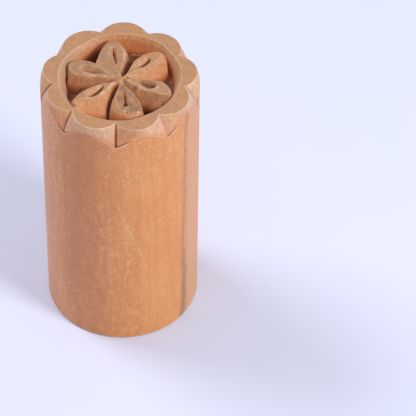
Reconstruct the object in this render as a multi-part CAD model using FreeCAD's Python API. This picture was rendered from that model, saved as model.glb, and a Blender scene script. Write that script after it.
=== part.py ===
import FreeCAD, Part
import math
import os

# Hand-carved wooden print stamp: a plain round grip whose upper end is carved with a
# ring of nine scallops around a sunk field holding a flower of six leaf-shaped petals.
# Millimetres, +Z up. Origin: centre of the flat base, on the axis of the grip.
# Angles are counted counter-clockwise seen from above, 0 along +X. The front is -Y.
#
# The stamp is one billet of wood. Each node below is one feature of that billet, and
# neighbouring features share their faces exactly, so together they fill the billet.

# ---- grip ----
BODY_R = 20.0            # radius of the round billet
HEIGHT = 77.0            # base to the printing faces
BASE_BREAK = 0.5         # edge break around the base
HEAD_DEPTH = 6.0         # depth of the sunk field below the printing faces

# ---- scalloped rim ----
NOTCH_ANGLES = (28.0, 68.0, 108.0, 152.0, 190.0, 228.0, 268.0, 307.5, 348.5)
NOTCH_R = 16.5           # radius of the inner corner of a notch on the printing face
APEX_R = 19.5            # radius of the crown of a scallop on the printing face
NOTCH_DEPTH = 5.3        # where the notch runs out on the side of the billet
CROWN_DEPTH = 2.1        # where the bevel runs out under the crown of a scallop

# ---- sunk field ----
FIELD_TOP_R = 15.4       # radius of the field at the printing face
FIELD_FLOOR_R = 13.2     # radius of the field at its floor

# ---- flower ----
PETAL_ANGLES = (40.0, 100.0, 161.0, 220.0, 281.0, 339.0)
PETAL_INNER_R = 1.1      # inner tip of a petal face
PETAL_OUTER_R = 13.3     # outer tip of a petal face
PETAL_HALF_WIDTH = 2.8   # half the width of a petal face
PETAL_SPREAD = 4.7       # how far a petal flank runs out over HEAD_DEPTH
POCKET_INNER_R = 5.0     # inner tip of the gouged pocket
POCKET_OUTER_R = 10.3    # outer tip of the gouged pocket
POCKET_HALF_WIDTH = 1.0  # half the width of the pocket
POCKET_DEPTH = 1.5       # depth of the pocket
CENTRE_R = 1.3           # radius of the flower centre
CENTRE_DROP = 0.2        # how far the flower centre sits below the printing faces

FLOOR_Z = HEIGHT - HEAD_DEPTH
Z = FreeCAD.Vector(0, 0, 1)
ORIGIN = FreeCAD.Vector(0, 0, 0)


def polar(radius, angle, z):
    a = math.radians(angle)
    return FreeCAD.Vector(radius * math.cos(a), radius * math.sin(a), z)


def wedge(start, end, reach):
    """Prism between two vertical planes through the axis, over the height of the head."""
    corners = [
        FreeCAD.Vector(0, 0, FLOOR_Z),
        polar(reach, start, FLOOR_Z),
        polar(reach, (start + end) / 2.0, FLOOR_Z),
        polar(reach, end, FLOOR_Z),
        FreeCAD.Vector(0, 0, FLOOR_Z),
    ]
    face = Part.Face(Part.makePolygon(corners))
    return face.extrude(FreeCAD.Vector(0, 0, HEAD_DEPTH))


def circle_through(corner_r, crown_r, half_angle):
    """Centre distance and radius of the circle through a crown and its two notch corners."""
    half_chord = corner_r * math.sin(half_angle)
    rise = crown_r - corner_r * math.cos(half_angle)
    radius = (half_chord ** 2 + rise ** 2) / (2.0 * rise)
    return crown_r - radius, radius


def ring(centre_r, radius, angle, z):
    return Part.Wire(Part.makeCircle(radius, polar(centre_r, angle, z), Z))


def scallop_cone(angle, half_angle):
    """Leaning cone whose skin is the bevelled side of one scallop."""
    top_c, top_r = circle_through(NOTCH_R, APEX_R, half_angle)
    low_crown = APEX_R + (BODY_R - APEX_R) * NOTCH_DEPTH / CROWN_DEPTH
    low_c, low_r = circle_through(BODY_R, low_crown, half_angle)
    stretch = HEAD_DEPTH / NOTCH_DEPTH
    floor_c = top_c + (low_c - top_c) * stretch
    floor_r = top_r + (low_r - top_r) * stretch
    upper = ring(top_c, top_r, angle, HEIGHT)
    lower = ring(floor_c, floor_r, angle, FLOOR_Z)
    return Part.makeLoft([lower, upper], True, True)


def leaf(inner_r, outer_r, half_width, angle, z_low, z_high, grow_low, grow_high):
    """Leaf-shaped block with drafted sides: the overlap of two upright cones.

    The leaf outline has the given half width; grow_low and grow_high widen it
    at the lower and the upper end."""
    half_length = (outer_r - inner_r) / 2.0
    arc_r = (half_length ** 2 + half_width ** 2) / (2.0 * half_width)
    offset = arc_r - half_width
    middle = polar((inner_r + outer_r) / 2.0, angle, z_low)
    across = polar(offset, angle + 90.0, 0)
    tall = z_high - z_low
    one = Part.makeCone(arc_r + grow_low, arc_r + grow_high, tall, middle + across, Z)
    two = Part.makeCone(arc_r + grow_low, arc_r + grow_high, tall, middle - across, Z)
    return one.common(two)


def field():
    """The whole sunk field as a block: a cone narrowing towards its floor."""
    return Part.makeCone(
        FIELD_FLOOR_R, FIELD_TOP_R, HEAD_DEPTH, FreeCAD.Vector(0, 0, FLOOR_Z), Z
    )


def turned_grip():
    body = Part.makeCylinder(BODY_R, FLOOR_Z - BASE_BREAK, FreeCAD.Vector(0, 0, BASE_BREAK), Z)
    foot = Part.makeCone(BODY_R - BASE_BREAK, BODY_R, BASE_BREAK, ORIGIN, Z)
    return body.fuse(foot).removeSplitter()


def rim_scallop(start, end):
    head = Part.makeCylinder(BODY_R, HEAD_DEPTH, FreeCAD.Vector(0, 0, FLOOR_Z), Z)
    sector = wedge(start, end, 2.0 * BODY_R)
    middle = (start + end) / 2.0
    half_angle = math.radians((end - start) / 2.0)
    shape = head.common(sector)
    shape = shape.common(scallop_cone(middle, half_angle))
    return shape.cut(field())


def petal(index):
    count = len(PETAL_ANGLES)
    angle = PETAL_ANGLES[index]
    before = PETAL_ANGLES[index - 1]
    after = PETAL_ANGLES[(index + 1) % count]
    start = angle - ((angle - before) % 360.0) / 2.0
    end = angle + ((after - angle) % 360.0) / 2.0
    shape = leaf(
        PETAL_INNER_R, PETAL_OUTER_R, PETAL_HALF_WIDTH, angle,
        FLOOR_Z, HEIGHT, PETAL_SPREAD, 0.0,
    )
    shape = shape.common(wedge(start, end, 2.0 * BODY_R))
    shape = shape.common(field())
    shape = shape.cut(flower_centre_block())
    pocket = leaf(
        POCKET_INNER_R, POCKET_OUTER_R, POCKET_HALF_WIDTH, angle,
        HEIGHT - POCKET_DEPTH, HEIGHT, 0.02 - POCKET_HALF_WIDTH, 0.0,
    )
    return shape.cut(pocket)


def flower_centre_block():
    return Part.makeCylinder(CENTRE_R, HEAD_DEPTH, FreeCAD.Vector(0, 0, FLOOR_Z), Z)


def flower_centre():
    return Part.makeCylinder(
        CENTRE_R, HEAD_DEPTH - CENTRE_DROP, FreeCAD.Vector(0, 0, FLOOR_Z), Z
    )


def write(name, shape):
    solids = shape.Solids
    if len(solids) != 1:
        raise ValueError("%s has %d solids" % (name, len(solids)))
    solid = solids[0]
    if not solid.isValid():
        raise ValueError("%s is not valid" % name)
    solid.exportStep("parts/%s.step" % name)


os.makedirs("parts", exist_ok=True)

write("turned_grip", turned_grip())

for i in range(len(NOTCH_ANGLES)):
    first = NOTCH_ANGLES[i]
    second = NOTCH_ANGLES[(i + 1) % len(NOTCH_ANGLES)]
    second = first + (second - first) % 360.0
    write("rim_scallop_%d" % (i + 1), rim_scallop(first, second))

for i in range(len(PETAL_ANGLES)):
    write("petal_%d" % (i + 1), petal(i))

write("flower_centre", flower_centre())
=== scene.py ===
import math

import bpy
import numpy as np
from mathutils import Matrix, Vector


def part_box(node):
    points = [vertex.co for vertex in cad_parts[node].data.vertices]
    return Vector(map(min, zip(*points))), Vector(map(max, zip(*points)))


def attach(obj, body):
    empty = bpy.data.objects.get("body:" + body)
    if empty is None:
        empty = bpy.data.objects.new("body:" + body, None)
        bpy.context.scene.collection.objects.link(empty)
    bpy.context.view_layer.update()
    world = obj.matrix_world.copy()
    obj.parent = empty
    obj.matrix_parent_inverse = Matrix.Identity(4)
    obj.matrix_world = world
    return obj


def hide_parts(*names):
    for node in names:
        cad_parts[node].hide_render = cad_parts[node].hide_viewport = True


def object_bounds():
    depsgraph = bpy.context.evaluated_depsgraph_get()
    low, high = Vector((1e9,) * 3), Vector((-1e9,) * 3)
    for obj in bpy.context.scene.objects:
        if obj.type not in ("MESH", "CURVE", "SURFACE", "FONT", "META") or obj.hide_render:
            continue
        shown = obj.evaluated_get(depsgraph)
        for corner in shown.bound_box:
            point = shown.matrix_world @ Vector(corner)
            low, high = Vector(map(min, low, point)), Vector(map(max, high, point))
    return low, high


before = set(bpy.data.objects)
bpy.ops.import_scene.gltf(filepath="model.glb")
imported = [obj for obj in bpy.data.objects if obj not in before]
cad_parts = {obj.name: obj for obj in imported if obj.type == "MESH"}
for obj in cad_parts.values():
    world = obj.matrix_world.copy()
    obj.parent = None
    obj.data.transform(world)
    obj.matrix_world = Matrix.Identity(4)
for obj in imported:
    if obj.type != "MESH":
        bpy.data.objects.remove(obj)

# A hand-carved wooden print stamp. The CAD nodes are replaced by pieces of the same
# extent that carry what a knife and years of use leave: facets, stop cuts, soft arrises,
# chips and grain. Lengths are millimetres in the part's frame until a mesh is made.

MM = 0.001
cad_low, cad_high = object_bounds()
grip_low, grip_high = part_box("turned_grip")

# ---- driving sizes, read from the frame ----
BODY_R = (grip_high[0] - grip_low[0]) / 2 / MM
HEIGHT = cad_high[2] / MM
FLOOR_Z = grip_high[2] / MM
HEAD_DEPTH = HEIGHT - FLOOR_Z

# ---- scalloped rim; angles are degrees counter-clockwise from +X, seen from above ----
NOTCHES = (28, 68, 108, 152, 190, 228, 268, 307.5, 348.5)
CROWN_R = (19.5, 19.85, 19.5, 19.5, 19.45, 19.5, 19.5, 19.5, 19.5)   # one per scallop
NOTCH_R = 16.5             # inner corner of a notch on the printing face
NOTCH_DEPTH = 5.3          # where a notch runs out on the side
CROWN_DEPTH = 2.1          # where the bevel runs out under the crown of a scallop

# ---- seams between the pieces, along the grooves of the flower ----
HUB_R = 1.3                # radius of the centre piece
PETAL_SEAMS = (9.5, 70, 130.5, 190.5, 250.5, 310)

# ---- worn edges ----
ARRIS = 0.12               # width of the softened edges of the carving
BASE_EDGE = 0.55           # radius of the worn edge around the base
LEAST_WOOD = 0.12          # least depth of wood between the carving and the floor of its piece

# ---- mesh density ----
COLUMNS = 720
HUB_ROWS = 12
FIELD_ROWS = 110
WALL_ROWS = 30
LAND_ROWS = 16
BEVEL_ROWS = 30
SKIRT_ROWS = 6
GRIP_ROWS = 72


# ==== small maths ====

def lattice(i, j, k, seed):
    """Repeatable value in -1..1 for each corner of a lattice."""
    n = np.sin(i * 127.1 + j * 311.7 + k * 74.7 + seed * 53.9) * 43758.5453
    return 2.0 * (n - np.floor(n)) - 1.0


def noise(x, y, z, size, seed):
    """Smooth noise in about -1..1 whose bumps are about size across."""
    x, y, z = x / size, y / size, z / size
    i, j, k = np.floor(x), np.floor(y), np.floor(z)
    u, v, w = x - i, y - j, z - k
    u, v, w = u * u * (3 - 2 * u), v * v * (3 - 2 * v), w * w * (3 - 2 * w)
    total = 0.0
    for a in (0, 1):
        for b in (0, 1):
            for c in (0, 1):
                weight = (u if a else 1 - u) * (v if b else 1 - v) * (w if c else 1 - w)
                total = total + weight * lattice(i + a, j + b, k + c, seed)
    return total


def plane_noise(x, y, size, seed):
    """The same noise on the plane of the printing faces."""
    return noise(x, y, 0 * x, size, seed)


def step(x, low, high):
    """Smooth rise from 0 at low to 1 at high."""
    t = np.clip((x - low) / (high - low), 0.0, 1.0)
    return t * t * (3 - 2 * t)


def soft_min(a, b, k):
    """The smaller of two depths, blended where they differ by less than k."""
    h = np.clip(0.5 + 0.5 * (b - a) / k, 0.0, 1.0)
    return b * (1 - h) + a * h - k * h * (1 - h)


def soft_max(a, b, k):
    return -soft_min(-a, -b, k)


def ramp_from(distance, slope, edge):
    """Depth that starts at an edge and grows by slope, with the edge softened."""
    return slope * 0.5 * (distance + np.sqrt(distance ** 2 + edge ** 2))


def angle_gap(a, b):
    """Signed difference a - b in degrees, from -180 to 180."""
    return (a - b + 180.0) % 360.0 - 180.0


def around(angle, knots):
    """A value that runs smoothly round the axis through (angle, value) knots."""
    first, last = knots[0], knots[-1]
    chain = [(last[0] - 360.0, last[1]), *knots, (first[0] + 360.0, first[1])]
    t = angle % 360.0
    result = np.zeros(np.shape(t))
    for (a0, v0), (a1, v1) in zip(chain, chain[1:]):
        result = np.where((t >= a0) & (t < a1), v0 + (v1 - v0) * step(t, a0, a1), result)
    return result


def smooth_loop(points, steps=10):
    """Closed Catmull-Rom curve through a few given points."""
    p = np.array(points, float)
    t = np.linspace(0, 1, steps, endpoint=False)[:, None]
    runs = []
    for i in range(len(p)):
        a, b, c, d = p[i - 1], p[i], p[(i + 1) % len(p)], p[(i + 2) % len(p)]
        runs.append(
            0.5 * (2 * b + (c - a) * t + (2 * a - 5 * b + 4 * c - d) * t ** 2
                   + (3 * b - a - 3 * c + d) * t ** 3)
        )
    return np.concatenate(runs)


def beside(x, y, a, b):
    """How far along the line from a to b the nearest point is, 0 to 1, and its distance."""
    dx, dy = b[0] - a[0], b[1] - a[1]
    t = np.clip(((x - a[0]) * dx + (y - a[1]) * dy) / (dx * dx + dy * dy + 1e-12), 0.0, 1.0)
    return t, np.hypot(x - a[0] - t * dx, y - a[1] - t * dy)


def loop_distance(x, y, loop):
    """Signed distance to a closed loop, negative inside, and its slope at the nearest point."""
    best = np.full(x.shape, 1e9)
    slope = np.zeros(x.shape)
    inside = np.zeros(x.shape, bool)
    for a, b in zip(loop, np.roll(loop, -1, axis=0)):
        t, gap = beside(x, y, a, b)
        near = gap < best
        best = np.where(near, gap, best)
        slope = np.where(near, a[2] + t * (b[2] - a[2]), slope)
        crossing = (b[0] - a[0]) * (y - a[1]) / (b[1] - a[1] + 1e-12) + a[0]
        inside ^= ((a[1] > y) != (b[1] > y)) & (x < crossing)
    return np.where(inside, -best, best), slope


def line_distance(x, y, points):
    """Distance to an open chain of points, and how far along the chain, from 0 to 1."""
    best = np.full(x.shape, 1e9)
    where = np.zeros(x.shape)
    spans = len(points) - 1
    for i in range(spans):
        t, gap = beside(x, y, points[i], points[i + 1])
        where = np.where(gap < best, (i + t) / spans, where)
        best = np.minimum(gap, best)
    return best, where


def spot(radius, angle):
    a = math.radians(angle)
    return radius * math.cos(a), radius * math.sin(a)


def along_across(x, y, heading):
    """How far a place lies along a heading in radians, and across it."""
    c, s = math.cos(heading), math.sin(heading)
    return x * c + y * s, y * c - x * s


def halve(low, high, holds):
    """Where a test that holds at low stops holding on the way to high."""
    for _ in range(24):
        middle = (low + high) / 2
        held = holds(middle)
        low, high = np.where(held, middle, low), np.where(held, high, middle)
    return (low + high) / 2


# ==== the flower ====

class Petal:
    """One petal. Outline points are (along, across, slope outside), seen from above, with
    along counted outwards from the axis and across counter-clockwise. The gouged pocket's
    points are (along, across, slope inside). crest is how softly the face turns into its
    flank; past the shoulder the flank steepens by drop, towards the knife's stop cut.
    Of the last two values, the first is painted shade on the flanks, heaviest on the petals whose flanks
    face away from both lights, and the second is how dark the face has gone with handling."""

    def __init__(self, angle, crest, shoulder, drop, stain, grime_and_shade, outline, pocket):
        self.angle = math.radians(angle)
        self.crest, self.shoulder, self.drop = crest, shoulder, drop
        self.stain, self.grime_and_shade = stain, grime_and_shade
        self.outline = smooth_loop(outline)
        self.pocket = smooth_loop(pocket)

    def shape(self, x, y):
        """Depth of the flank, depth of the pocket, and distance from the face's edge."""
        along, across = along_across(x, y, self.angle)
        gap, slope = loop_distance(along, across, self.outline)
        facets = 1.0 + 0.12 * plane_noise(x, y, 2.3, 11)
        flank = ramp_from(gap, slope * facets, self.crest)
        flank = flank + ramp_from(gap - self.shoulder, self.drop, 0.2)
        within, slope = loop_distance(along, across, self.pocket)
        pocket = soft_min(ramp_from(-within, slope, 0.10), POCKET_DEPTH + 0 * x, 0.3)
        return flank, pocket, np.minimum(np.abs(gap), np.abs(within) + 0.08)


POCKET_DEPTH = 1.5
# Counter-clockwise from the right back
# The petals at 160 and 340 degrees carry painted shade on their flanks, which face away from both lights
PETALS = (
    Petal(
        angle=40.0, crest=0.40, shoulder=3.2, drop=2.6, stain=0.0, grime_and_shade=0.0,
        outline=((0.9, -0.5, 1.4), (2.1, 0.4, 3), (3.4, 1.1, 4), (4.9, 1.9, 4), (6.6, 2.6, 3.2),
         (9.7, 2.8, 2.2), (11.8, 2.2, 1.9), (13.3, 1.3, 1.6), (13.3, 0.2, 1), (12.2, -0.6, 0.7),
         (10.6, -1.2, 0.7), (9.2, -1.4, 0.7), (7.2, -1.2, 0.7), (5.2, -0.8, 0.8), (3, -0.6, 0.9)),
        pocket=((4.5, 0.2, 1), (5.7, 1.2, 0.9), (7.5, 1.7, 0.8), (9.1, 1.6, 1), (10.2, 0.9, 2.6),
         (10.1, 0, 3), (8.9, -0.6, 2.6), (7.4, -0.9, 2.4), (5.8, -0.5, 2)),
    ),
    Petal(
        angle=100.0, crest=0.12, shoulder=0.75, drop=6.0, stain=0.0, grime_and_shade=0.22,
        outline=((0.6, 0.3, 1), (0.9, 1.7, 0.7), (2.3, 2.8, 0.6), (4.1, 4.2, 0.7), (5.5, 5.1, 2.4),
         (6.9, 4.75, 3), (9.2, 3.8, 3.2), (11.3, 2.65, 3), (12.8, 1.4, 2.6), (13.4, 0.3, 2),
         (12.9, -0.7, 1), (11.7, -1.6, 0.6), (9.9, -2.2, 0.45), (8, -2.4, 0.4),
         (5.7, -1.8, 0.45), (3.2, -0.8, 0.6), (1.1, -0.2, 1)),
        pocket=((11.2, 0, 1.4), (10.3, 0.9, 1), (9, 1.5, 0.8), (7.1, 1.4, 0.8), (5.5, 0.9, 1),
         (4.6, 0.4, 1.6), (5.2, -0.2, 2.6), (6.6, -0.4, 3), (8.8, -0.5, 2.8), (10.4, -0.3, 2)),
    ),
    Petal(
        angle=160.0, crest=0.30, shoulder=3.0, drop=2.6, stain=0.56, grime_and_shade=0.28,
        outline=((1.3, 0.7, 1), (3.5, 1.2, 1.15), (5.8, 1.9, 1.3), (8.4, 2.7, 1.4), (10.6, 3.05, 1.5),
         (12.2, 2.5, 1.7), (13.2, 1.4, 2), (13.6, 0.1, 2.4), (12.9, -1.2, 2.4), (11.4, -2.2, 2.2),
         (9.2, -2.5, 2), (7.3, -2.2, 1.6), (5.5, -1.3, 0.8), (3.5, -0.4, 0.6)),
        pocket=((10.6, 0.5, 0.8), (9.7, -0.6, 0.7), (8.1, -1.1, 0.7), (6.3, -1, 0.8), (4.3, -0.3, 1.4),
         (4.9, 0.7, 1.2), (6.6, 1.6, 0.8), (8.5, 1.9, 0.7), (9.8, 1.4, 0.7)),
    ),
    Petal(
        angle=220.0, crest=0.45, shoulder=4.2, drop=2.6, stain=0.0, grime_and_shade=0.14,
        outline=((1.8, 0.4, 1.6), (3.8, -0.8, 2.6), (5.6, -1.5, 3), (7.8, -2, 3), (9.7, -2.1, 3),
         (11.6, -1.85, 2.6), (13.3, -0.95, 1.6), (14.5, 0.15, 0.9), (13.6, 0.25, 0.8), (12.3, 0.2, 0.75),
         (11, 0.75, 0.7), (9.4, 1.75, 0.7), (7.3, 1.85, 0.8), (5.1, 1.4, 0.9), (3.2, 0.8, 1.2)),
        pocket=((4.2, -0.6, 0.9), (5.9, -1.2, 0.7), (7.9, -1.4, 0.6), (9.6, -1.1, 0.6), (10.9, -0.1, 0.8),
         (10.7, 0.7, 1.8), (9.2, 1.4, 2.6), (7.4, 1.3, 2.6), (5.5, 0.6, 2.2)),
    ),
    Petal(
        angle=280.0, crest=0.10, shoulder=1.1, drop=4.0, stain=0.05, grime_and_shade=0.56,
        outline=((2.6, 0.1, 1.6), (3.8, -0.6, 1.3), (6.1, -1.5, 1.1), (8.1, -2.2, 1), (10, -2.4, 0.9),
         (11.2, -2, 0.9), (12, -0.8, 0.9), (12.6, 0.4, 0.9), (12.9, 1.9, 0.9), (12.9, 3.4, 2),
         (11.1, 3.9, 6), (8.9, 3.5, 6.5), (6.7, 2.8, 6), (4.8, 1.9, 4.5), (3.3, 0.8, 2.4)),
        pocket=((4, 0.3, 1.6), (6, -0.3, 1.2), (8.1, -0.7, 1.1), (9.7, -0.7, 1.6), (10.5, -0.1, 3.4),
         (10.2, 0.7, 3), (8.6, 1.1, 1.3), (6.7, 1, 1.3), (4.7, 0.6, 1.6)),
    ),
    Petal(
        angle=340.0, crest=0.60, shoulder=3.4, drop=2.6, stain=0.62, grime_and_shade=0.0,
        outline=((1.6, 0, 1.4), (3.1, 1, 1.8), (5.1, 1.8, 2.4), (7, 2.3, 2.4), (8.9, 2.6, 2.2),
         (10.4, 2.6, 2), (12.1, 1.6, 1.8), (13.6, 0.1, 1.6), (14.1, -1, 0.9), (12.8, -1.4, 0.7),
         (10.5, -1.6, 0.9), (8.5, -1.9, 1.2), (6.7, -1.9, 1.2), (4.9, -1.4, 1.1), (3, -0.6, 1.1)),
        pocket=((4.4, 0.5, 1.2), (5.9, 1.4, 1.2), (7.8, 1.8, 1.1), (9.3, 1.4, 1.4), (9.8, 0.1, 1.6),
         (8.9, -1, 1.3), (7.4, -1.3, 1.1), (5.8, -0.7, 1)),
    ),
)

# Stop cuts of the knife, most of them between petals: (radius, angle) points, half width at the first and
# at the last point, depth, and how much painted shade darkens the cut
STOP_CUTS = (
    (((1.1, 48), (2.1, 66), (3.6, 69), (5.2, 70), (8.2, 71)), 0.20, 0.65, 4.8, 0.8),
    (((1.9, 260.5), (3, 254), (5, 252.4), (8.5, 253.6), (13, 256.4), (15.4, 257.4)),
     0.10, 0.16, 4.6, 0.30),
    (((1.7, 213), (3.1, 205), (4.6, 202.2), (7.7, 201.8), (9.1, 203.2), (10.8, 205.8), (12.4, 208.6)),
     0.03, 0.06, 3, 0.4),
    (((1.5, 6), (2.4, 2.6), (3.7, 359.6), (5.1, 358.3), (8.7, 358.3)), 0.03, 0.06, 2.2, 0.6),
    (((9.6, 131), (11.3, 125.5), (13.3, 117.5), (14.6, 112.5)), 0.20, 0.35, 5.8, 1),
    (((3.6, 288.5), (5.4, 286), (6.9, 283.7), (9.2, 281.2)), 0.12, 0.30, 0.25, 0.9),
)
STOP_CUT_SLOPE = 7.0           # how steep the sides of a stop cut are
# Radius past which the knife cleared a moat between the flower and the wall
MOAT = ((1, 11.7), (16, 11.9), (28, 12.8), (34, 13.6), (39, 14.1), (45, 13.7),
        (55, 13.4), (96, 13.5), (102, 13.4), (107, 12.8), (116, 12.4), (130, 12.8),
        (155, 13.1), (160, 13.6), (166, 13.2), (173, 12.7), (190, 12.7), (204, 13.4),
        (216, 14.2), (221, 14.5), (228, 15.6), (255, 15.5), (264, 14.2), (298, 13.9),
        (318, 13.9), (335, 14.3), (343, 13.3), (351, 12.2))
MOAT_SLOPE = 6.0
MOAT_DEPTH = 6.0               # it goes down to the floor everywhere
# Depth of the floor between the petals and the wall
FLOOR = ((10, 4.6), (70, 5), (125, 5.8), (195, 4.6), (255, 5.4), (315, 5.2))
HUB = (0.05, -0.45, 1.1)       # centre and radius of the flower's raised middle
KNOB = ((0.45, -1), (0.62, -2.35))   # a stub left standing beside it, as a line
KNOB_HALF = 0.40               # half the width of the stub
# Small pits, the deep end of one pocket and a broad worn hollow: place, radius, depth
PITS = ((-1.2, 1.25, 0.28, 0.40), (-1.65, 0.8, 0.22, 0.30), (0.9, 0.35, 0.2, 0.2),
        (2.2, -12.3, 0.28, 0.55), (2.6, -11.5, 0.2, 0.3), (1.5, -12, 0.18, 0.25),
        (3.9, -10.4, 0.3, 0.14), (3.2, -9, 0.2, 0.12), (1.75, -9.5, 0.50, 1.7), (3.7, -3.4, 1.6, 0.27))
# Arrises painted pale, part wear from handling and part painted highlight, and painted highlights on the
# lit sides of two pockets: (radius, angle) points, half width, strength
WORN_AND_LIT_EDGES = (
    (((3.6, 293), (7.1, 300), (9.5, 300.5), (11.5, 299.5), (13.5, 298.5)), 0.34, 0.80),
    (((3.4, 274), (5.3, 268), (7.4, 266.5), (10, 268), (11.4, 275), (12.9, 280)), 0.28, 0.4),
    (((1.1, 89), (3.1, 81.5), (5.5, 80), (7.7, 83), (9.6, 87)), 0.50, 0.8),
    (((10.8, 103.5), (9.4, 107.5), (8.8, 109.5)), 0.35, 0.55),
    (((2.5, 336), (4.3, 331), (6.1, 327), (7.9, 328), (9.5, 333), (10.2, 340)), 0.42, 0.7),
    (((10.6, 353), (12.3, 345), (13.8, 338)), 0.35, 0.6),
    (((10.4, 161), (9.2, 169), (7.5, 176), (5.4, 176), (3.8, 179)), 0.36, 0.6),
    (((7.8, 235), (5.9, 237), (4.3, 235), (2.4, 230)), 0.50, 0.65),
    (((10.4, 217), (10.8, 224), (10.1, 229)), 0.35, 0.7),
    (((10.7, 32), (12.6, 33), (13.2, 38)), 0.45, 0.5),
    (((14.2, 282), (13.2, 287), (13.6, 292)), 0.55, 0.6),
    (((5.6, 47.1), (7.6, 48.3), (9.1, 46.3)), 0.75, 0.50),
    (((6, 214.3), (7.9, 214.9), (9.6, 217.6)), 0.75, 0.50),
)
# Splinters left standing on the floor: radius, angle, size
CHIPS = ((12.5, 77.5, 0.9), (12.6, 74, 1), (13.2, 70.5, 0.9), (11.7, 76, 0.6), (13.6, 66, 0.7))


def flower(x, y):
    """The petals together: depth, depth of the pockets, distance from the nearest edge, and the painted
    shade on the nearest petal's flanks and how handled its face is."""
    depth, edge = np.full(x.shape, 20.0), np.full(x.shape, 1e9)
    pockets, stain, handled = np.zeros((3, *x.shape))
    for petal in PETALS:
        flank, pocket, gap = petal.shape(x, y)
        nearest = flank < depth
        stain = np.where(nearest, petal.stain, stain)
        handled = np.where(nearest, petal.grime_and_shade, handled)
        depth = soft_min(depth, flank, 0.10)
        pockets = pockets + pocket
        edge = np.minimum(edge, gap)
    return depth, pockets, edge, stain, handled


def stop_cuts(x, y, depth):
    """The surface with the knife's stop cuts, and the painted shade in them."""
    grime_and_shade = np.zeros(x.shape)
    for points, narrow, wide, cut, cut_shade in STOP_CUTS:
        gap, where = line_distance(x, y, [spot(*p) for p in points])
        half = narrow + (wide - narrow) * where
        aside = gap + 0.05 * plane_noise(x, y, 0.8, 12) - half
        reach = cut * step(where, -0.02, 0.12) - STOP_CUT_SLOPE * np.maximum(aside, 0.0)
        depth = soft_max(depth, reach, 0.15)
        # painted shade in the cut, fading out past its sides
        grime_and_shade = np.maximum(grime_and_shade, cut_shade * (1 - step(aside, 0.0, 0.30)) * step(where, 0.0, 0.08))
    return depth, grime_and_shade


def field_floor(x, y, angle):
    """The rough floor between the petals, and where a few splinters are left standing."""
    tool_marks = 0.16 * plane_noise(x, y, 1.4, 3) + 0.07 * plane_noise(x, y, 0.5, 4)
    ground = around(angle, FLOOR) + tool_marks
    splinters = np.zeros(x.shape)
    for radius, chip_angle, size in CHIPS:
        px, py = spot(radius, chip_angle)
        along, across = along_across(x - px, y - py, math.radians(chip_angle) + 1.9)
        splinter = np.exp(-(along / (0.8 * size)) ** 2 - (across / 0.20) ** 2)
        ground = ground - 1.1 * size * splinter
        splinters = np.maximum(splinters, splinter)
    return ground, splinters


def raised_middle(x, y):
    """Depth of the flower's middle, and the distance from the line of its stub."""
    hub_x, hub_y, hub_r = HUB
    knob, _ = line_distance(x, y, KNOB)
    gap = soft_min(np.hypot(x - hub_x, y - hub_y) - hub_r, knob - KNOB_HALF, 0.25)
    return 0.10 + 0.05 * plane_noise(x, y, 0.5, 14) + ramp_from(gap, 3.2, 0.25), knob


def pit_depth(x, y):
    depth = np.zeros(x.shape)
    for pit_x, pit_y, radius, deepest in PITS:
        depth = depth + deepest * np.exp(-((x - pit_x) ** 2 + (y - pit_y) ** 2) / radius ** 2)
    return depth


def pale_wear_and_highlights(x, y):
    """Pale arrises, part wear from handling and part painted highlight, and the painted highlights on two
    pocket sides: broken lines.
    """
    pale = np.zeros(x.shape)
    broken = 0.7 + 0.5 * plane_noise(x, y, 0.6, 15)
    for points, half, strength in WORN_AND_LIT_EDGES:
        gap, _ = line_distance(x, y, [spot(*p) for p in points])
        pale = np.maximum(pale, strength * broken * (1 - step(gap, 0.3 * half, 1.3 * half)))
    return pale


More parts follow.
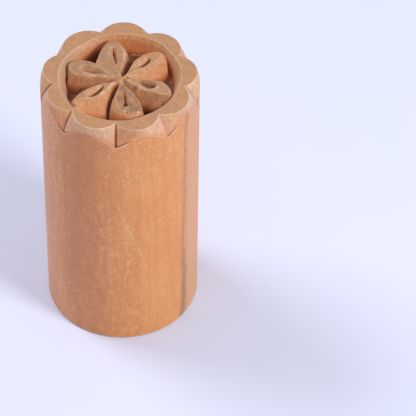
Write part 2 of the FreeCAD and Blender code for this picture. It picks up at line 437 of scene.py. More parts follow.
def field_surface(x, y):
    """Depth of the sunk field below the printing faces, with the masks the wood reads."""
    angle = np.degrees(np.arctan2(y, x)) % 360.0
    depth, pockets, edge, stain, handled = flower(x, y)
    depth, grime_and_shade = stop_cuts(x, y, depth)
    moat = MOAT_SLOPE * (np.hypot(x, y) - around(angle, MOAT) - 0.08 * plane_noise(x, y, 1.3, 13))
    depth = soft_max(depth, np.minimum(moat, MOAT_DEPTH), 0.12)
    ground, splinters = field_floor(x, y, angle)
    depth = soft_min(depth, ground, 0.25)
    middle, knob = raised_middle(x, y)
    pits = pit_depth(x, y)
    depth = soft_min(depth, middle, 0.12) + pockets + pits
    depth = depth + 0.035 * noise(x, y, depth, 0.9, 5) * step(depth, 0.1, 0.5)
    depth = np.clip(depth + 0.018 * (1 + plane_noise(x, y, 0.45, 6)), 0.0, HEAD_DEPTH - LEAST_WOOD)

    ragged = depth + 0.12 * plane_noise(x, y, 0.7, 7)
    face = 1 - step(ragged, 0.10, 0.60)
    # The arris mask lays a paler colour on the edges: part wear, part painted highlight.
    arris = np.exp(-(edge / 0.16) ** 2) * (1 - step(depth, 0.35, 0.7))
    # The deep mask is mostly painted shade: darker with depth, in the pockets, in the pits and the broad
    # hollow, in the stop cuts and on the flanks of the petals that face away from the lights. On the
    # printing faces it is grime from handling. Splinters get less of the painted shade.
    deep = 0.85 * step(depth - pockets, 1.6, 5.4)
    deep = deep + 0.65 * step(pockets, 0.6, 1.3) + 0.9 * step(pits, 0.12, 0.5)
    deep = np.maximum(deep, grime_and_shade * step(depth, 0.4, 1.2))
    grit = 0.8 * plane_noise(x, y, 1.1, 16) + 0.6 * plane_noise(x, y, 0.4, 17)
    patchy = np.clip(0.6 + grit, 0, 1)
    deep = deep + handled * face * patchy + stain * (1 - face) * (0.6 + 0.4 * patchy)
    deep = deep * (1 - 0.6 * splinters)
    # The pale mask: the stub's pale top, the pale arrises that are part wear and part painted highlight,
    # and the painted highlights on two pocket sides
    pale = np.maximum(np.clip(1 - knob / 0.5, 0, 1), pale_wear_and_highlights(x, y))
    # painted highlight on the tops of the splinters 2.5 to 3.5 mm down
    pale = np.maximum(pale, 0.7 * splinters * step(depth, 2.5, 3.5))
    return depth, face, arris, np.clip(deep, 0, 1), pale


# ==== the rim ====

# Radius of the field's upper edge
FIELD_EDGE = ((14, 15.5), (32, 15.4), (55, 15.7), (71, 15.6), (90, 15.4), (113, 15.4),
              (131, 15), (148, 15.3), (180, 15.3), (212, 15.7), (240, 15.7),
              (270, 15.6), (305, 15), (330, 15.1))
# The wall's upper facet leans back further where the knife was held flatter
WALL_FACET = ((30, 0.25), (60, 0.35), (95, 0.25), (120, 0.45), (150, 0.75), (180, 0.85),
              (208, 0.7), (230, 0.3), (300, 0.3), (340, 0.5))
FACET_DEPTH = 1.3              # depth of the facet's lower edge
WALL_LEAN = 0.30               # how much the wall closes in per millimetre down
FOOT_LEAST_R = 11.9            # the wall's foot lies outside this radius
# Painted light on the wall's upper part, the depth where painted shade begins towards its foot, and how
# grey its lip is
WALL_PAINTED_LIGHT = ((25, 0.4), (60, 0), (100, 0), (125, 0.3), (150, 0.6), (175, 0.8),
             (205, 0.8), (220, 0.3), (250, 0.1), (320, 0.3), (350, 0.55))
WALL_PAINTED_SHADE = ((60, 3.8), (95, 3.6), (118, 2.2), (150, 3.4), (200, 2.6), (240, 3),
             (330, 3.2), (355, 4.3))
WALL_GREY = ((30, 0.1), (70, 0), (130, 0), (155, 0.8), (205, 1), (225, 0.2),
             (330, 0.1))
FIELD_R = 15.0                 # the field's nominal radius, where the wall's noise is read


def field_edge(angle):
    """Radius of the field's upper edge: a ring of short knife cuts, not a true circle."""
    a = np.radians(angle)
    cuts = 23
    within = (angle * cuts / 360.0 + 0.35 * np.sin(3 * a + 1.0)) % 1.0
    wander = 0.08 * plane_noise(FIELD_R * np.cos(a), FIELD_R * np.sin(a), 3.0, 21)
    return around(angle, FIELD_EDGE) - 0.07 * np.abs(np.sin(math.pi * within)) + wander


def wall_radius(angle, depth):
    """Radius of the field's wall: a flat upper facet above an uneven, nearly upright cut."""
    a = np.radians(angle)
    x, y = FIELD_R * np.cos(a), FIELD_R * np.sin(a)
    waves = 0.06 * noise(x, y, 0.35 * depth, 2.6, 22) * step(depth, 0.2, 1.5)
    facet = around(angle, WALL_FACET) * soft_min(depth, FACET_DEPTH + 0 * depth, 0.3) / FACET_DEPTH
    return field_edge(angle) - facet - WALL_LEAN * depth - waves


def circle_through(corner_r, crown_r, half_angle):
    """Centre distance and radius of the circle through a crown and its two notch corners."""
    half_chord = corner_r * math.sin(half_angle)
    rise = crown_r - corner_r * math.cos(half_angle)
    radius = (half_chord ** 2 + rise ** 2) / (2.0 * rise)
    return crown_r - radius, radius


class Scallop:
    """One scallop of the rim on its own columns: its bevelled side is part of a leaning
    cone, through the crown and the two notches at each level."""

    def __init__(self, index, angle):
        start = NOTCHES[index]
        width = (NOTCHES[(index + 1) % len(NOTCHES)] - start) % 360.0
        self.mine = ((angle - start) % 360.0) < width
        self.swing = np.radians((angle - start) % 360.0 - width / 2)[self.mine]
        half = math.radians(width / 2)
        crown = CROWN_R[index]
        self.top_c, self.top_r = circle_through(NOTCH_R, crown, half)
        low_crown = max(crown + (BODY_R - crown) * NOTCH_DEPTH / CROWN_DEPTH, BODY_R + 0.3)
        self.low_c, self.low_r = circle_through(BODY_R, low_crown, half)
        self.turn = self.swing / half          # -1 at one notch, 0 at the crown, 1 at the next

    def radius(self, depth):
        t = depth / NOTCH_DEPTH
        centre = self.top_c + (self.low_c - self.top_c) * t
        radius = self.top_r + (self.low_r - self.top_r) * t
        root = np.maximum(radius ** 2 - (centre * np.sin(self.swing)) ** 2, 0.0)
        return centre * np.cos(self.swing) + np.sqrt(root)

    def run_out(self):
        """Depth at which the bevelled side meets the round billet."""
        low, high = np.zeros(self.swing.shape), np.full(self.swing.shape, NOTCH_DEPTH + 0.6)
        return halve(low, high, lambda depth: self.radius(depth) < BODY_R)


# The slit that the knife left in each notch: offset and half width in degrees, depth
SLITS = ((0.5, 0.5, 0.35), (-0.5, 0.5, 0.35), (0.5, 0.5, 0.35), (-0.4, 0.6, 0.4), (-0.7, 0.6, 0.5),
         (-0.6, 0.6, 0.5), (1, 0.80, 0.6), (0.3, 0.3, 0.12), (0.4, 0.6, 0.45))
# Ledges left where a stop cut ran past a notch:
# notch, side (+1 counter-clockwise), reach in degrees, sag below the bevel, set-back
LEDGES = (
    (0, 1, 7, 0.35, 0.25), (1, 1, 8, 0.35, 0.25), (2, -1, 7, 0.3, 0.25), (3, 1, 7, 0.3, 0.3),
    (4, 1, 8, 0.35, 0.25), (5, -1, 8.5, 0.45, 0.28), (5, 1, 6, 0.2, 0.22),
    (6, 1, 11.5, 0.45, 0.40), (7, 1, 12, 0.6, 0.42), (8, 1, 8, 0.45, 0.3), (8, -1, 5, 0.2, 0.25),
)
# Painted light on each bevel's two halves, clockwise half and counter-clockwise half: the half that faces
# the key light is painted paler
BEVEL_PAINTED_LIGHT = ((0.6, 0.5), (0.3, 0.4), (0.5, 0.3), (0.4, 0.3), (0.35, 0.15), (0.7, 0.9),
              (0.1, 1), (0.5, 1), (1, 0.9))


def billet_radius(angle, z):
    """Radius of the round billet: sanded by hand, so very slightly uneven."""
    a = np.radians(angle)
    x, y = BODY_R * np.cos(a), BODY_R * np.sin(a)
    slow = 0.030 * (1 + noise(x, y, 0.3 * z, 9.0, 31))
    fine = 0.007 * (1 + noise(x, y, 0.12 * z, 1.1, 32))
    return BODY_R - slow - fine


# ==== the carved head as one grid ====

MASKS = ("face", "cut", "arris", "deep", "pale")


class Grid:
    """The carved surface as rows of radius, depth and masks for every column, which run
    from the axis out to the billet."""

    def __init__(self):
        self.angle = np.arange(COLUMNS) * 360.0 / COLUMNS
        turn = np.radians(self.angle)
        self.cos, self.sin = np.cos(turn), np.sin(turn)
        self.rows = []

    def at(self, radius):
        """The place of a radius on each column."""
        return radius * self.cos, radius * self.sin

    def add(self, radius, depth, face=0.0, cut=0.0, arris=0.0, deep=0.0, pale=0.0):
        values = (radius, depth, face, cut, arris, deep, pale)
        self.rows.append(np.stack([np.broadcast_to(v, (COLUMNS,)) for v in values], axis=1))


def add_field(grid):
    """The flower and the floor, out to the foot of the wall; says how deep the foot is."""
    def before_wall(radius):
        return radius < wall_radius(grid.angle, field_surface(*grid.at(radius))[0])

    foot = halve(np.full(COLUMNS, FOOT_LEAST_R), around(grid.angle, FIELD_EDGE), before_wall)
    inner = [np.full(COLUMNS, HUB_R * i / HUB_ROWS) for i in range(HUB_ROWS + 1)]
    outer = [HUB_R + (foot - HUB_R) * i / FIELD_ROWS for i in range(1, FIELD_ROWS + 1)]
    for radius in inner + outer:
        depth, face, arris, deep, pale = field_surface(*grid.at(radius))
        grid.add(radius, depth, face, 1 - face, arris, deep, pale)
    return field_surface(*grid.at(foot))[0]


def add_wall(grid, foot_depth):
    """The wall, up to the field's edge; says the radius of the edge."""
    for i in range(1, WALL_ROWS):
        depth = foot_depth + (ARRIS - foot_depth) * i / (WALL_ROWS - 1)
        # painted light on the wall's upper part, fading downwards
        pale = around(grid.angle, WALL_PAINTED_LIGHT) * (1 - step(depth, 1.6, 3.6))
        grey = around(grid.angle, WALL_GREY) * (1 - step(depth, 1.0, 1.7))
        arris = np.exp(-(depth / 0.22) ** 2)
        # painted shade towards the wall's foot
        start = around(grid.angle, WALL_PAINTED_SHADE)
        dark = step(depth, start, start + 2.4) + 0.2 * grey
        grid.add(wall_radius(grid.angle, depth), depth, grey, 1, arris, dark, pale)
    edge = field_edge(grid.angle)
    wear = 0.02 * (1 + plane_noise(*grid.at(edge), 1.7, 41))
    grid.add(edge + 0.25 * ARRIS, 0.25 * ARRIS + wear, 0.5, 0.5, 1)
    return edge


class Rim:
    """The rim's scallops on every column of the grid: the radius of their crest, the depth where the
    bevel runs out, the set-back of the ledges, the slits, and the painted light on the bevels."""

    def __init__(self, grid):
        self.scallops = [Scallop(k, grid.angle) for k in range(len(NOTCHES))]
        crest, natural, self.pale = np.zeros((3, COLUMNS))
        for scallop, (before, after) in zip(self.scallops, BEVEL_PAINTED_LIGHT):
            crest[scallop.mine] = scallop.radius(0.0)
            natural[scallop.mine] = scallop.run_out()
            # painted light: the half of each bevel that faces the key light is paler
            self.pale[scallop.mine] = before + (after - before) * step(scallop.turn, -0.35, 0.35)

        self.run_out, self.set_back = natural, np.zeros(COLUMNS)
        for k, side, reach, sag, back in LEDGES:
            along = side * angle_gap(grid.angle, NOTCHES[k])
            on = (along >= 0) & (along <= reach)
            t = np.clip(along / reach, 0.0, 1.0)
            hang = sag * (4 * t * (1 - t)) ** 0.7 * (1 - 0.5 * t)
            self.run_out = np.where(on, natural + hang, self.run_out)
            self.set_back = np.where(on, back * (1 - t ** 3) * step(t, -0.02, 0.06), self.set_back)
        self.ledge = step(self.set_back, 0.03, 0.2)

        self.slit = np.zeros(COLUMNS)
        for start, (offset, half, cut) in zip(NOTCHES, SLITS):
            gap = np.abs(angle_gap(grid.angle, start + offset))
            self.slit = np.maximum(self.slit, cut * (1 - step(gap, 0.35 * half, half)))
        self.crest = crest - 0.5 * self.slit + 0.04 * plane_noise(*grid.at(crest), 2.2, 42)

    def bevel_radius(self, depth):
        radius = np.zeros(COLUMNS)
        for scallop in self.scallops:
            radius[scallop.mine] = scallop.radius(depth[scallop.mine])
        return radius


def add_land(grid, edge, rim):
    """The printing face of the rim, from the field's edge to the crest of the scallops."""
    for i in range(LAND_ROWS + 1):
        t = i / LAND_ROWS
        radius = (edge + ARRIS) * (1 - t) + (rim.crest - ARRIS) * t
        ripple = 0.016 * (1 + plane_noise(*grid.at(radius), 0.6, 44))
        near = np.minimum(radius - edge, rim.crest - radius)
        grid.add(radius, ripple * step(near, ARRIS, 0.6), 1, 0, np.exp(-(near / 0.2) ** 2))
    wear = 0.02 * (1 + plane_noise(*grid.at(rim.crest), 1.9, 43))
    # the crest's rounded edge carries the bevels' painted light
    grid.add(rim.crest - 0.25 * ARRIS, 0.25 * ARRIS + wear, 0.5, 0.5, 1, 0, rim.pale)


def add_bevels(grid, rim):
    """The bevelled sides, down to where they run out on the billet."""
    for i in range(BEVEL_ROWS + 1):
        t = i / BEVEL_ROWS
        depth = ARRIS + (rim.run_out - ARRIS) * t
        billet = billet_radius(grid.angle, HEIGHT - depth)
        radius = rim.bevel_radius(depth)
        x, y = grid.at(radius)
        radius = radius + 0.03 * noise(x, y, 0.4 * depth, 1.5, 45) * (1 - step(t, 0.8, 1.0))
        radius = np.minimum(radius, billet - rim.set_back)
        radius = radius - rim.slit * (0.45 + 0.55 * step(t, 0.0, 0.35)) * (1 - step(t, 0.94, 1.0))
        gully = step(t, 0.90, 1.0) * rim.ledge
        depth = depth + 0.14 * gully
        cut = step(billet - radius, 0.0, 0.16)
        # painted shade in the notch slits and in the corner under each ledge
        cut_shade = np.clip(rim.slit * 1.3 * (1 - step(t, 0.96, 1.0)) + 0.62 * gully, 0, 1)
        low_edge = 0.5 * np.exp(-((1 - t) * rim.run_out / 0.15) ** 2) * (1 - gully)
        worn = low_edge + np.exp(-(depth / 0.2) ** 2)
        # the bevels' painted light fades downwards, except at the ledges
        fading = 1 - 0.6 * step(t, 0.5, 1.0) * (1 - rim.ledge)
        grid.add(radius, depth, 0, cut, worn * (1 - cut_shade), cut_shade, rim.pale * fading)


def add_skirt(grid, rim):
    """The lip that the ledges leave on the billet, and the billet below it."""
    lip = rim.run_out + 0.03 - 0.06 * rim.ledge
    radius = billet_radius(grid.angle, HEIGHT - lip) - 0.02
    # painted highlight on the lit upper face of each ledge's lip
    grid.add(radius, lip, 0, rim.ledge, rim.ledge, 0, 0.8 * rim.ledge)
    below = lip + 0.07 + 0.13 * rim.ledge
    for i in range(SKIRT_ROWS + 1):
        depth = below + (HEAD_DEPTH - below) * i / SKIRT_ROWS
        at_lip = rim.ledge * float(i == 0)
        radius = billet_radius(grid.angle, HEIGHT - depth)
        grid.add(radius, depth, 0, 0.6 * at_lip, at_lip, 0, at_lip)


def carved_head():
    """The angles of the grid's columns, and the whole grid of the carved head."""
    grid = Grid()
    foot_depth = add_field(grid)
    edge = add_wall(grid, foot_depth)
    rim = Rim(grid)
    add_land(grid, edge, rim)
    add_bevels(grid, rim)
    add_skirt(grid, rim)
    return grid.angle, np.stack(grid.rows)


# ==== meshes ====

def shade_smooth_but_hidden(mesh, outer_faces):
    """Smooth shading on the seen surface; the faces inside the wood stay flat and sharp."""
    smooth = np.zeros(len(mesh.polygons), bool)
    smooth[:outer_faces] = True
    mesh.polygons.foreach_set("use_smooth", smooth)
    loops = np.zeros(len(mesh.loops), np.int32)
    mesh.loops.foreach_get("edge_index", loops)
    totals = np.zeros(len(mesh.polygons), np.int32)
    mesh.polygons.foreach_get("loop_total", totals)
    owner = np.repeat(np.arange(len(mesh.polygons)), totals)
    seen, hidden = np.zeros((2, len(mesh.edges)), bool)
    seen[loops[owner < outer_faces]] = True
    hidden[loops[owner >= outer_faces]] = True
    sharp = mesh.attributes.new("sharp_edge", "BOOLEAN", "EDGE")
    sharp.data.foreach_set("value", seen & hidden)


def add_object(name, data):
    """A new object in the scene for a mesh, a light or a camera."""
    thing = bpy.data.objects.new(name, data)
    bpy.context.scene.collection.objects.link(thing)
    return thing


def make_piece(name, points, faces, seen, masks, node):
    """A closed mesh that stands for one CAD node, from runs of millimetre points and of
    their masks. The first faces, as many as seen says, are the carved surface."""
    mesh = bpy.data.meshes.new(name)
    mesh.from_pydata([tuple(p) for p in np.concatenate(points) * MM], [], faces)
    for key, values in zip(MASKS, np.concatenate(masks).T):
        layer = mesh.attributes.new(key, "FLOAT", "POINT")
        layer.data.foreach_set("value", np.ascontiguousarray(values, np.float32))
    mesh.validate()
    shade_smooth_but_hidden(mesh, seen)
    piece = add_object(name, mesh)
    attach(piece, "root")
    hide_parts(node)
    return piece


def places(radius, angle, z):
    """Points in millimetres at a radius and an angle in degrees round the axis."""
    a = np.radians(angle)
    return np.stack([radius * np.cos(a), radius * np.sin(a), z + 0 * radius], -1)


def block(name, angle, grid, columns, first_row, last_row, node):
    """A closed block under a patch of the grid, from first_row to last_row over the columns."""
    patch = grid[first_row:last_row + 1][:, columns]
    rows, cols = patch.shape[:2]
    top = places(patch[..., 0], angle[columns], HEIGHT - patch[..., 1])
    number = np.arange(rows * cols).reshape(rows, cols)
    faces = []
    for r in range(rows - 1):
        for c in range(cols - 1):
            faces.append((number[r, c], number[r + 1, c], number[r + 1, c + 1], number[r, c + 1]))
    seen = len(faces)

    # the ends of the patch, let down to the floor unless they lie on it
    points = [top.reshape(-1, 3)]
    masks = [patch[..., 2:].reshape(-1, len(MASKS))]
    count = rows * cols
    ends = []
    for row in (0, rows - 1):
        if np.allclose(top[row, :, 2], FLOOR_Z):
            ends.append(number[row])
            continue
        ring = top[row].copy()
        ring[:, 2] = FLOOR_Z
        points.append(ring)
        masks.append(np.zeros((cols, len(MASKS))))
        ends.append(np.arange(count, count + cols))
        count += cols
    inner, outer = ends

    for c in range(cols - 1):
        if inner[c] != number[0, c]:
            faces.append((number[0, c], number[0, c + 1], inner[c + 1], inner[c]))
        if outer[c] != number[-1, c]:
            faces.append((number[-1, c + 1], number[-1, c], outer[c], outer[c + 1]))
        faces.append((inner[c], inner[c + 1], outer[c + 1], outer[c]))
    for c, turn in ((0, 1), (cols - 1, -1)):
        edge = list(number[:, c])
        if outer[c] != edge[-1]:
            edge.append(outer[c])
        edge.append(inner[c])
        faces.append(tuple(edge[::-turn]))
    faces = [tuple(int(v) for v in f) for f in faces]
    return make_piece(name, points, faces, seen, masks, node)


def column_run(start, end):
    """Column numbers from one angle to another, both ends included."""
    per_degree = COLUMNS / 360.0
    first = round(start * per_degree)
    last = first + round(((end - start) % 360.0) * per_degree)
    return np.arange(first, last + 1) % COLUMNS


def ring_faces(rings):
    """Faces of a fan round point 0 and of the rings of points that follow it, facing up."""
    faces = []
    for c in range(COLUMNS):
        d = (c + 1) % COLUMNS
        faces.append((0, 1 + c, 1 + d))
        for r in range(rings - 1):
            i, j = 1 + r * COLUMNS, 1 + (r + 1) * COLUMNS
            faces.append((i + c, j + c, j + d, i + d))
    return faces


def turned_over(face):
    """The same face, seen from its other side."""
    return (face[0], *face[:0:-1])


def centre_block(name, angle, grid, last_row, node):
    """The flower's middle: the grid's innermost rows, closed below."""
    patch = grid[1:last_row + 1]
    rows = patch.shape[0]
    ring = places(patch[..., 0], angle, HEIGHT - patch[..., 1])
    pole = np.array([[0.0, 0.0, HEIGHT - grid[0, 0, 1]]])
    skirt = ring[-1].copy()
    skirt[:, 2] = FLOOR_Z
    points = [pole, ring.reshape(-1, 3), skirt]
    count = len(MASKS)
    masks = [grid[0, :1, 2:], patch[..., 2:].reshape(-1, count), np.zeros((COLUMNS, count))]
    faces = ring_faces(rows)
    seen = len(faces)
    last, low = 1 + (rows - 1) * COLUMNS, 1 + rows * COLUMNS
    for c in range(COLUMNS):
        d = (c + 1) % COLUMNS
        faces.append((last + d, last + c, low + c, low + d))
    faces.append(tuple(low + c for c in range(COLUMNS))[::-1])
    return make_piece(name, points, faces, seen, masks, node)


def grip_block(name, angle, node):
    """The round grip, with a worn base edge, closed by a disc under the carved head."""
    a = np.radians(angle)
    wobble = 1 + 0.25 * plane_noise(8 * np.cos(a), 8 * np.sin(a), 3.0, 51)
    foot = billet_radius(angle, 0.0)
    rings = [(foot * share, 0.0, 0.0) for share in np.linspace(0.25, 0.96, 8)]
    for turn in range(0, 91, 15):
        t = math.radians(turn)
        z = BASE_EDGE * (1 - math.cos(t))
        worn = math.exp(-((z - 0.3 * BASE_EDGE) / 0.3) ** 2)
        rings.append((foot - BASE_EDGE * (1 - math.sin(t)) * wobble, z, worn))
    for z in np.linspace(2.2 * BASE_EDGE, FLOOR_Z, GRIP_ROWS):
        rings.append((billet_radius(angle, z), z, 0.0))

    points, masks = [np.zeros((1, 3))], [np.zeros((1, len(MASKS)))]
    for radius, z, worn in rings:
        points.append(places(radius, angle, z))
        mark = np.zeros((COLUMNS, len(MASKS)))
        mark[:, MASKS.index("arris")] = worn
        masks.append(mark)
    faces = [turned_over(face) for face in ring_faces(len(rings))]
    seen = len(faces)
    last = 1 + (len(rings) - 1) * COLUMNS
    faces.append(tuple(last + c for c in range(COLUMNS)))
    return make_piece(name, points, faces, seen, masks, node)


def ring_of_blocks(seams, first_row, last_row, name, node):
    """Blocks of the carved head between neighbouring seams, numbered from 1."""
    blocks = []
    for k, start in enumerate(seams):
        columns = column_run(start, seams[(k + 1) % len(seams)])
        number = "_%d" % (k + 1)
        blocks.append(block(name + number, angle, grid, columns, first_row, last_row, node + number))
    return blocks


angle, grid = carved_head()
field_row = HUB_ROWS + FIELD_ROWS
pieces = [grip_block("worn_grip", angle, "turned_grip")]
pieces += ring_of_blocks(NOTCHES, field_row, len(grid) - 1, "carved_scallop", "rim_scallop")
pieces += ring_of_blocks(PETAL_SEAMS, HUB_ROWS, field_row, "carved_petal", "petal")
pieces.append(centre_block("carved_centre", angle, grid, HUB_ROWS, "flower_centre"))


# ==== wood ====

class Nodes:
    """Short helper for building the node tree of a new material."""

    def __init__(self, name):
        self.material = bpy.data.materials.new(name)
        self.material.use_nodes = True
        self.tree = self.material.node_tree
        self.tree.nodes.clear()

    def new(self, kind, inputs, **settings):
        """A node whose inputs are either linked to a socket or set to a plain value."""
        node = self.tree.nodes.new("ShaderNode" + kind)
        for key, value in settings.items():
            setattr(node, key, value)
        for key, value in inputs.items():
            if hasattr(value, "node"):
                self.tree.links.new(value, node.inputs[key])
            else:
                node.inputs[key].default_value = value
        return node

    def math(self, operation, a, b=0.0):
        return self.new("Math", {0: a, 1: b}, operation=operation).outputs[0]

    def times(self, a, b):
        return self.math("MULTIPLY", a, b)

    def mix(self, factor, a, b):
        inputs = {0: factor, 6: a, 7: b}
        return self.new("Mix", inputs, data_type="RGBA", clamp_factor=True).outputs[2]

    def coats(self, colour, *layers):
        """Colours laid over each other: each layer is how much of it shows, and its colour."""
        for amount, coat in layers:
            colour = self.mix(amount, colour, coat)
        return colour

    def span(self, value, low, high, to_low=0.0, to_high=1.0):
        inputs = {0: value, 1: low, 2: high, 3: to_low, 4: to_high}
        return self.new("MapRange", inputs, clamp=True).outputs[0]

    def noise(self, where, scale, detail=2.0, roughness=0.5):
        inputs = {"Vector": where, "Scale": scale, "Detail": detail, "Roughness": roughness}
        return self.new("TexNoise", inputs).outputs[0]

    def stretched(self, where, scale):
        return self.new("Mapping", {"Vector": where, "Scale": scale}).outputs[0]

    def grain(self, where, scale, detail=2.0, roughness=0.5):
        """Noise with its own scale along each axis."""
        return self.noise(self.stretched(where, scale), 1.0, detail, roughness)

    def axes(self, where):
        split = self.new("SeparateXYZ", {0: where}).outputs
        return split["X"], split["Y"], split["Z"]

    def attribute(self, name):
        return self.new("Attribute", {}, attribute_name=name).outputs["Fac"]

    def finish(self, inputs):
        """The material, its surface made from these inputs."""
        shader = self.new("BsdfPrincipled", inputs)
        self.new("OutputMaterial", {0: shader.outputs[0]})
        return self.material


def srgb(r, g, b):
    """Linear colour from display values 0..255."""
    def lift(c):
        c = c / 255.0
        return c / 12.92 if c <= 0.04045 else ((c + 0.055) / 1.055) ** 2.4
    return (lift(r), lift(g), lift(b), 1.0)


# The side's marks: a dark mineral streak, by its angle from the front (degrees, towards
# +X), and a shallow scratch, by the angle and height of its two ends
STREAK_ANGLE = 55.8
SCRATCH = ((-3.0, 54.5), (22.0, 25.5))


def heart_tones(n, mm):
    """Masks of the golden and the russet wood, which run up the billet in broad bands."""
    x, _, z = n.axes(mm)
    x = n.math("ADD", x, n.span(n.grain(mm, (0.10, 0.10, 0.03)), 0.3, 0.7, -3.0, 3.0))
    golden = n.times(n.span(x, 2.0, 9.0), n.span(z, 20.0, 75.0, 1.0, 0.35))
    russet = n.times(n.span(x, -13.0, -9.0), n.span(x, -8.0, -2.0, 1.0, 0.0))
    return golden, russet


def unrolled(n, mm):
    """Place on the side, unrolled: millimetres round from the front, and height."""
    x, y, z = n.axes(mm)
    return n.times(n.math("ARCTAN2", x, n.times(y, -1.0)), BODY_R), z


def streak_marks(n, mm, across, z):
    """Masks of the streak, the smudge round its foot and the paler wood beyond it."""
    sway = n.span(n.grain(mm, (0.02, 0.02, 0.09), 3.0, 0.6), 0.25, 0.75, -1.4, 1.4)
    offset = n.math("ADD", n.math("SUBTRACT", across, math.radians(STREAK_ANGLE) * BODY_R), sway)
    aside = n.math("ABSOLUTE", offset)
    dotted = n.span(n.grain(mm, (2.2, 2.2, 1.5), 3.0, 0.75), 0.44, 0.60)
    streak = n.times(n.span(aside, 0.15, 0.95, 1.0, 0.0), dotted)
    smudge = n.times(n.span(aside, 0.5, 2.0, 1.0, 0.0), n.span(z, 12.0, 30.0, 1.0, 0.25))
    beyond = n.times(n.span(offset, -0.1, 0.7), n.span(offset, 5.0, 9.0, 1.0, 0.0))
    return streak, smudge, beyond


def scratch_mark(n, mm, across, z):
    """Mask of the shallow scratch: a thin, wavering, broken line."""
    (turn0, z0), (turn1, z1) = SCRATCH
    run, rise = math.radians(turn1 - turn0) * BODY_R, z1 - z0
    length = math.hypot(run, rise)
    run, rise = run / length, rise / length
    u = n.math("SUBTRACT", across, math.radians(turn0) * BODY_R)
    v = n.math("SUBTRACT", z, z0)
    along = n.math("ADD", n.times(u, run), n.times(v, rise))
    aside = n.math("SUBTRACT", n.times(u, rise), n.times(v, run))
    drift = n.span(n.grain(mm, (0.2, 0.2, 0.2)), 0.3, 0.7, -0.5, 0.5)
    thin = n.span(n.math("ABSOLUTE", n.math("ADD", aside, drift)), 0.05, 0.24, 1.0, 0.0)
    ends = n.times(n.span(along, 0.0, 2.0), n.span(along, length - 6.0, length, 1.0, 0.0))
    return n.times(n.times(thin, ends), n.span(n.noise(mm, 1.3, 2.0, 0.7), 0.42, 0.58))


def side_grain(n, mm, mottle, fibres):
    """Slow bands up the billet, soft mottling, fine fibres, pale flecks and the marks. Also
    the mask of the scratch, which is a dent too."""
    bands = n.grain(mm, (0.15, 0.15, 0.008), 3.0, 0.55)
    grain = n.grain(mm, (0.6, 0.6, 0.03), 3.0, 0.6)
    blotch = n.grain(mm, (0.12, 0.12, 0.06))
    flecks = n.grain(mm, (2.9, 2.9, 2.2), 2.0, 0.75)
    dust = n.grain(mm, (0.07, 0.07, 0.05))
    golden, russet = heart_tones(n, mm)
    across, z = unrolled(n, mm)
    streak, smudge, beyond = streak_marks(n, mm, across, z)
    scratch = scratch_mark(n, mm, across, z)
    colour = n.coats(
        n.mix(n.span(bands, 0.35, 0.65), srgb(200, 122, 66), srgb(216, 142, 78)),
        (n.span(mottle, 0.42, 0.60, 0.0, 0.80), srgb(223, 154, 94)),
        (n.span(blotch, 0.42, 0.62, 0.0, 0.30), srgb(206, 124, 58)),
        (n.span(grain, 0.46, 0.62, 0.0, 0.40), srgb(198, 114, 54)),
        (n.span(fibres, 0.40, 0.70, 0.0, 0.16), srgb(184, 108, 60)),
        (n.times(n.span(flecks, 0.56, 0.65), n.span(dust, 0.42, 0.58, 0.20, 0.72)), srgb(238, 196, 154)),
        (n.times(golden, 0.40), srgb(226, 150, 78)),
        (n.times(russet, 0.35), srgb(190, 112, 66)),
        (n.times(beyond, 0.45), srgb(206, 158, 120)),
        (n.times(smudge, 0.60), srgb(142, 102, 66)),
        (n.times(streak, 0.62), srgb(104, 80, 62)),
        (n.times(scratch, 0.58), srgb(236, 202, 170)),
    )
    return colour, scratch


def end_grain(n, mm, pores, patches, specks):
    """Fine pores and dust; greyer on the flower, where thumbs and butter have reached it."""
    x, y, _ = n.axes(mm)
    radius = n.math("SQRT", n.math("ADD", n.math("POWER", x, 2.0), n.math("POWER", y, 2.0)))
    handled = n.times(n.span(radius, 14.2, 14.8, 1.0, 0.0), n.span(patches, 0.38, 0.60, 0.05, 0.45))
    return n.coats(
        n.mix(n.span(pores, 0.36, 0.66), srgb(152, 103, 68), srgb(202, 151, 109)),
        (n.span(patches, 0.44, 0.62, 0.0, 0.42), srgb(166, 130, 98)),
        (n.span(n.noise(mm, 0.42, 3.0, 0.6), 0.46, 0.62, 0.0, 0.55), srgb(196, 136, 88)),
        (n.span(pores, 0.66, 0.76, 0.0, 0.5), srgb(222, 186, 150)),
        (handled, srgb(154, 122, 90)),
        (n.span(specks, 0.56, 0.70, 0.0, 0.36), srgb(132, 94, 62)),
        (n.span(specks, 0.30, 0.44, 0.36, 0.0), srgb(224, 184, 144)),
    )


def cut_wood(n, mm, marks, pores, specks):
    """Wood that the knife has cut, warmer and more orange further down: painted bounce light."""
    _, _, z = n.axes(mm)
    return n.coats(
        n.mix(n.span(marks, 0.36, 0.66), srgb(186, 122, 76), srgb(208, 152, 104)),
        (n.span(pores, 0.52, 0.72, 0.0, 0.55), srgb(166, 106, 64)),
        (n.span(pores, 0.30, 0.45, 0.50, 0.0), srgb(224, 176, 130)),
        (n.span(specks, 0.56, 0.70, 0.0, 0.35), srgb(146, 88, 52)),
        (n.span(specks, 0.30, 0.44, 0.35, 0.0), srgb(232, 188, 144)),
        # painted bounce light: more orange further down in the carving
        (n.span(z, HEIGHT - 3.4, HEIGHT - 0.8, 0.62, 0.0), srgb(214, 122, 62)),
    )


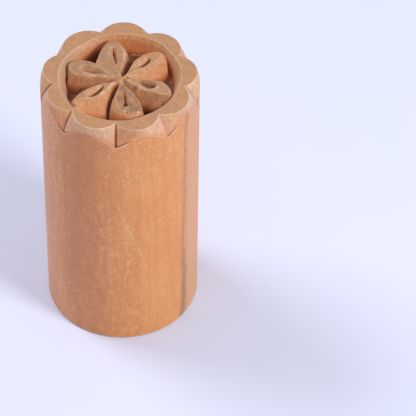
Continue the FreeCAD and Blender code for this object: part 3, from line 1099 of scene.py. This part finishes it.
def wood():
    """Pear-like wood: side grain on the grip, end grain on the printing faces and cut wood between them,
    with pale arrises that are part wear and part painted highlight, painted light on lit walls and
    bevels, and painted shade in the grooves and on shaded flanks."""
    n = Nodes("pear_wood")
    mm = n.stretched(n.new("TexCoord", {}).outputs["Object"], (1 / MM, 1 / MM, 1 / MM))
    face, cut, arris, deep, pale = (n.attribute(name) for name in MASKS)
    mottle = n.grain(mm, (0.55, 0.55, 0.32), 4.0, 0.65)
    fibres = n.grain(mm, (4.5, 4.5, 0.5), 3.0, 0.65)
    marks = n.grain(mm, (1.1, 1.1, 0.5), 4.0, 0.65)
    pores = n.noise(mm, 3.6, 3.0, 0.7)
    patches = n.noise(mm, 0.75, 4.0, 0.65)
    specks = n.noise(mm, 2.3, 2.0, 0.8)
    side, scratch = side_grain(n, mm, mottle, fibres)

    # light is laid by the pale mask: painted light, and pale wear on arrises. dark is laid by the deep
    # mask: mostly painted shade, with grime from handling on the faces
    light = n.mix(n.span(marks, 0.36, 0.66), srgb(206, 161, 129), srgb(220, 179, 149))
    dark = n.mix(n.span(marks, 0.36, 0.66), srgb(92, 48, 22), srgb(116, 62, 28))
    colour = n.coats(
        side,
        (cut, cut_wood(n, mm, marks, pores, specks)),
        (face, end_grain(n, mm, pores, patches, specks)),
        (n.times(pale, 0.85), light),
        # paler arrises: part wear, part painted highlight
        (n.times(arris, n.span(patches, 0.38, 0.60, 0.12, 0.42)), srgb(218, 180, 146)),
        (n.times(n.times(arris, pale), n.span(patches, 0.40, 0.60, 0.12, 0.68)), srgb(250, 220, 190)),
        (n.times(deep, 0.86), dark),
    )
    fine = n.math("ADD", n.times(fibres, 0.5), n.times(pores, 0.5))
    height = n.math("SUBTRACT", fine, n.times(scratch, 0.5))
    bump = n.new("Bump", {"Strength": 0.45, "Distance": 0.00009, "Height": height})
    return n.finish({
        "Base Color": colour,
        "Roughness": n.span(mottle, 0.3, 0.7, 0.50, 0.62),
        "Normal": bump.outputs[0],
        "Specular IOR Level": 0.5,
        "Sheen Weight": 0.22,
        "Sheen Roughness": 0.45,
        "Sheen Tint": (0.86, 0.90, 1.0, 1.0),
    })


pear_wood = wood()
for piece in pieces:
    piece.data.materials.append(pear_wood)


# ==== studio ====

LIGHT_TARGET = (0, 0, 0.04)    # metres, like the lights' distances and sizes
FLOOR_HALF = 3.0               # half the width of the paper that the stamp stands on


def paper():
    return Nodes("pale_paper").finish({
        "Base Color": (0.725, 0.76, 0.94, 1.0),
        "Roughness": 0.9,
        "Specular IOR Level": 0.1,
    })


def lay_paper():
    corners = [(x * FLOOR_HALF, y * FLOOR_HALF, 0) for x, y in ((-1, -1), (1, -1), (1, 1), (-1, 1))]
    mesh = bpy.data.meshes.new("floor")
    mesh.from_pydata(corners, [], [(0, 1, 2, 3)])
    mesh.materials.append(paper())
    piece = add_object("floor", mesh)


def area_light(name, azimuth, elevation, distance, size, power, colour):
    """A round light aimed at the stamp; azimuth is counter-clockwise from +X."""
    data = bpy.data.lights.new(name, "AREA")
    data.shape = "DISK"
    data.size = size
    data.energy = power
    data.color = colour
    lamp = add_object(name, data)
    across, height = spot(distance, elevation)
    place = Vector((*spot(across, azimuth), height))
    lamp.location = place
    lamp.rotation_euler = (Vector(LIGHT_TARGET) - place).to_track_quat("-Z", "Y").to_euler()


lay_paper()
area_light("key", 325, 39, 0.9, size=0.28, power=4.55, colour=(1.0, 0.99, 0.97))
area_light("second", 150, 48, 1.0, size=0.50, power=4.3, colour=(0.97, 0.98, 1.0))

world = bpy.data.worlds.new("studio")
world.use_nodes = True
background = world.node_tree.nodes["Background"]
background.inputs["Color"].default_value = (0.92, 0.94, 1.0, 1.0)
background.inputs["Strength"].default_value = 0.53
bpy.context.scene.world = world
bpy.context.scene.view_settings.view_transform = "Standard"


# ==== camera ====

# A long lens, from in front and above
PITCH = math.radians(46.88)            # how far it looks down
ROLL = math.radians(1.02)
EYE = (1.128, -24.345, 27.479)         # in radii of the billet
camera_data = bpy.data.cameras.new("camera")
camera_data.sensor_width = 36.0
camera_data.lens = 235.5
camera_data.clip_start = 0.01
camera = add_object("camera", camera_data)
turn = Matrix.Rotation(math.pi / 2 - PITCH, 4, "X") @ Matrix.Rotation(ROLL, 4, "Z")
camera.matrix_world = Matrix.Translation(Vector(EYE) * BODY_R * MM) @ turn
bpy.context.scene.camera = camera
